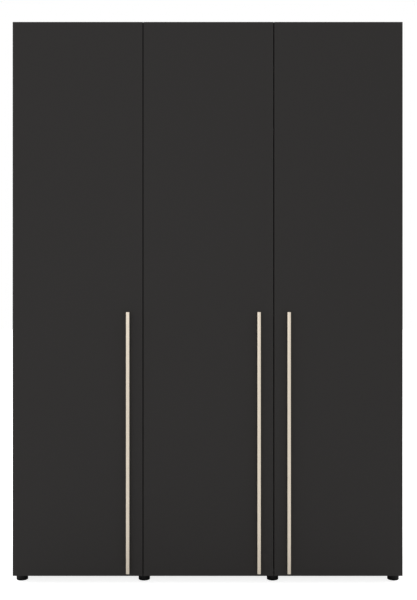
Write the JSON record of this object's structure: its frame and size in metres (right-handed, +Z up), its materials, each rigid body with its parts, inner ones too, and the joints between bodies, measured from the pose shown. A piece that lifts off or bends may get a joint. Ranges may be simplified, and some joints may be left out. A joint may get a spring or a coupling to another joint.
{
  "type": "hinged-door wardrobe",
  "caption": "Tall wardrobe with plain hinged doors, long slim vertical handles on their lower halves, low round feet, a shelf bay and a wide hanging bay with hat shelf and rail.",
  "frame": {"origin": "on the floor, under the middle of the overall box, handles included", "axes": "+Z up, the doors face -Y, +X to the right as seen from the front"},
  "size_m": [1.5, 0.6, 2.168],
  "materials": {
    "graphite_melamine": "matt dark graphite melamine-faced board",
    "linen_melamine": "pale linen-look melamine-faced board",
    "hardboard": "thin hardboard, printed to match inside, raw brown behind",
    "champagne_aluminium": "champagne anodised, satin",
    "black_plastic": "moulded, fine grain",
    "grey_plastic": "extruded, satin",
    "hinge_nickel": "nickel-plated, bright",
    "chrome_rail": "chrome-plated tube"
  },
  "bodies": {
    "carcass": {"left_side_panel": "graphite_melamine", "right_side_panel": "graphite_melamine", "bottom_panel": "graphite_melamine", "top_panel": "graphite_melamine", "partition_panel": "linen_melamine", "left_back_panel": "hardboard", "middle_back_panel": "hardboard", "right_back_panel": "hardboard", "back_joining_strip": "grey_plastic", "front_foot_1": "black_plastic", "rear_foot_1": "black_plastic", "front_foot_2": "black_plastic", "rear_foot_2": "black_plastic", "front_foot_3": "black_plastic", "rear_foot_3": "black_plastic", "front_foot_4": "black_plastic", "rear_foot_4": "black_plastic", "left_bay_shelf_1": "linen_melamine", "left_bay_shelf_2": "linen_melamine", "left_bay_shelf_3": "linen_melamine", "left_bay_shelf_4": "linen_melamine", "hat_shelf": "linen_melamine", "hanging_rail": "chrome_rail", "rail_bracket_left": "hinge_nickel", "rail_bracket_right": "hinge_nickel", "rail_centre_bracket": "hinge_nickel", "left_door_hinge_arm_1": "hinge_nickel", "left_door_hinge_arm_2": "hinge_nickel", "left_door_hinge_arm_3": "hinge_nickel", "left_door_hinge_arm_4": "hinge_nickel", "middle_door_hinge_arm_1": "hinge_nickel", "middle_door_hinge_arm_2": "hinge_nickel", "middle_door_hinge_arm_3": "hinge_nickel", "middle_door_hinge_arm_4": "hinge_nickel", "right_door_hinge_arm_1": "hinge_nickel", "right_door_hinge_arm_2": "hinge_nickel", "right_door_hinge_arm_3": "hinge_nickel", "right_door_hinge_arm_4": "hinge_nickel"},
    "left_door": {"left_door_panel": "graphite_melamine", "left_door_handle": "champagne_aluminium", "left_door_hinge_cup_1": "hinge_nickel", "left_door_hinge_cup_2": "hinge_nickel", "left_door_hinge_cup_3": "hinge_nickel", "left_door_hinge_cup_4": "hinge_nickel"},
    "left_door_links": {"left_door_hinge_link_4": "hinge_nickel"},
    "middle_door": {"middle_door_panel": "graphite_melamine", "middle_door_handle": "champagne_aluminium", "middle_door_hinge_cup_1": "hinge_nickel", "middle_door_hinge_cup_2": "hinge_nickel", "middle_door_hinge_cup_3": "hinge_nickel", "middle_door_hinge_cup_4": "hinge_nickel"},
    "middle_door_links": {"middle_door_hinge_link_4": "hinge_nickel"},
    "right_door": {"right_door_panel": "graphite_melamine", "right_door_handle": "champagne_aluminium", "right_door_hinge_cup_1": "hinge_nickel", "right_door_hinge_cup_2": "hinge_nickel", "right_door_hinge_cup_3": "hinge_nickel", "right_door_hinge_cup_4": "hinge_nickel"},
    "right_door_links": {"right_door_hinge_link_4": "hinge_nickel"}
  },
  "joints": [
    {"name": "left_door_hinge", "type": "hinge", "parent": "carcass", "child": "left_door", "pos_m": [-0.744, -0.276, 1.0985], "axis": [0, 0, -1], "range_deg": [0, 100]},
    {"name": "left_door_link_pivot", "type": "hinge", "parent": "carcass", "child": "left_door_links", "pos_m": [-0.72036, -0.26788, 2.064], "axis": [0, 0, 1], "range_deg": [0, 29.2]},
    {"name": "middle_door_hinge", "type": "hinge", "parent": "carcass", "child": "middle_door", "pos_m": [-0.241, -0.276, 1.0985], "axis": [0, 0, -1], "range_deg": [0, 100]},
    {"name": "middle_door_link_pivot", "type": "hinge", "parent": "carcass", "child": "middle_door_links", "pos_m": [-0.21736, -0.26788, 2.064], "axis": [0, 0, 1], "range_deg": [0, 29.2]},
    {"name": "right_door_hinge", "type": "hinge", "parent": "carcass", "child": "right_door", "pos_m": [0.744, -0.276, 1.0985], "axis": [0, 0, 1], "range_deg": [0, 100]},
    {"name": "right_door_link_pivot", "type": "hinge", "parent": "carcass", "child": "right_door_links", "pos_m": [0.72036, -0.26788, 2.064], "axis": [0, 0, -1], "range_deg": [0, 29.2]}
  ],
  "couplings": [
    {"joint": "left_door_link_pivot", "follows": "left_door_hinge", "ratio": 0.29145},
    {"joint": "middle_door_link_pivot", "follows": "middle_door_hinge", "ratio": 0.29145},
    {"joint": "right_door_link_pivot", "follows": "right_door_hinge", "ratio": 0.29145}
  ]
}
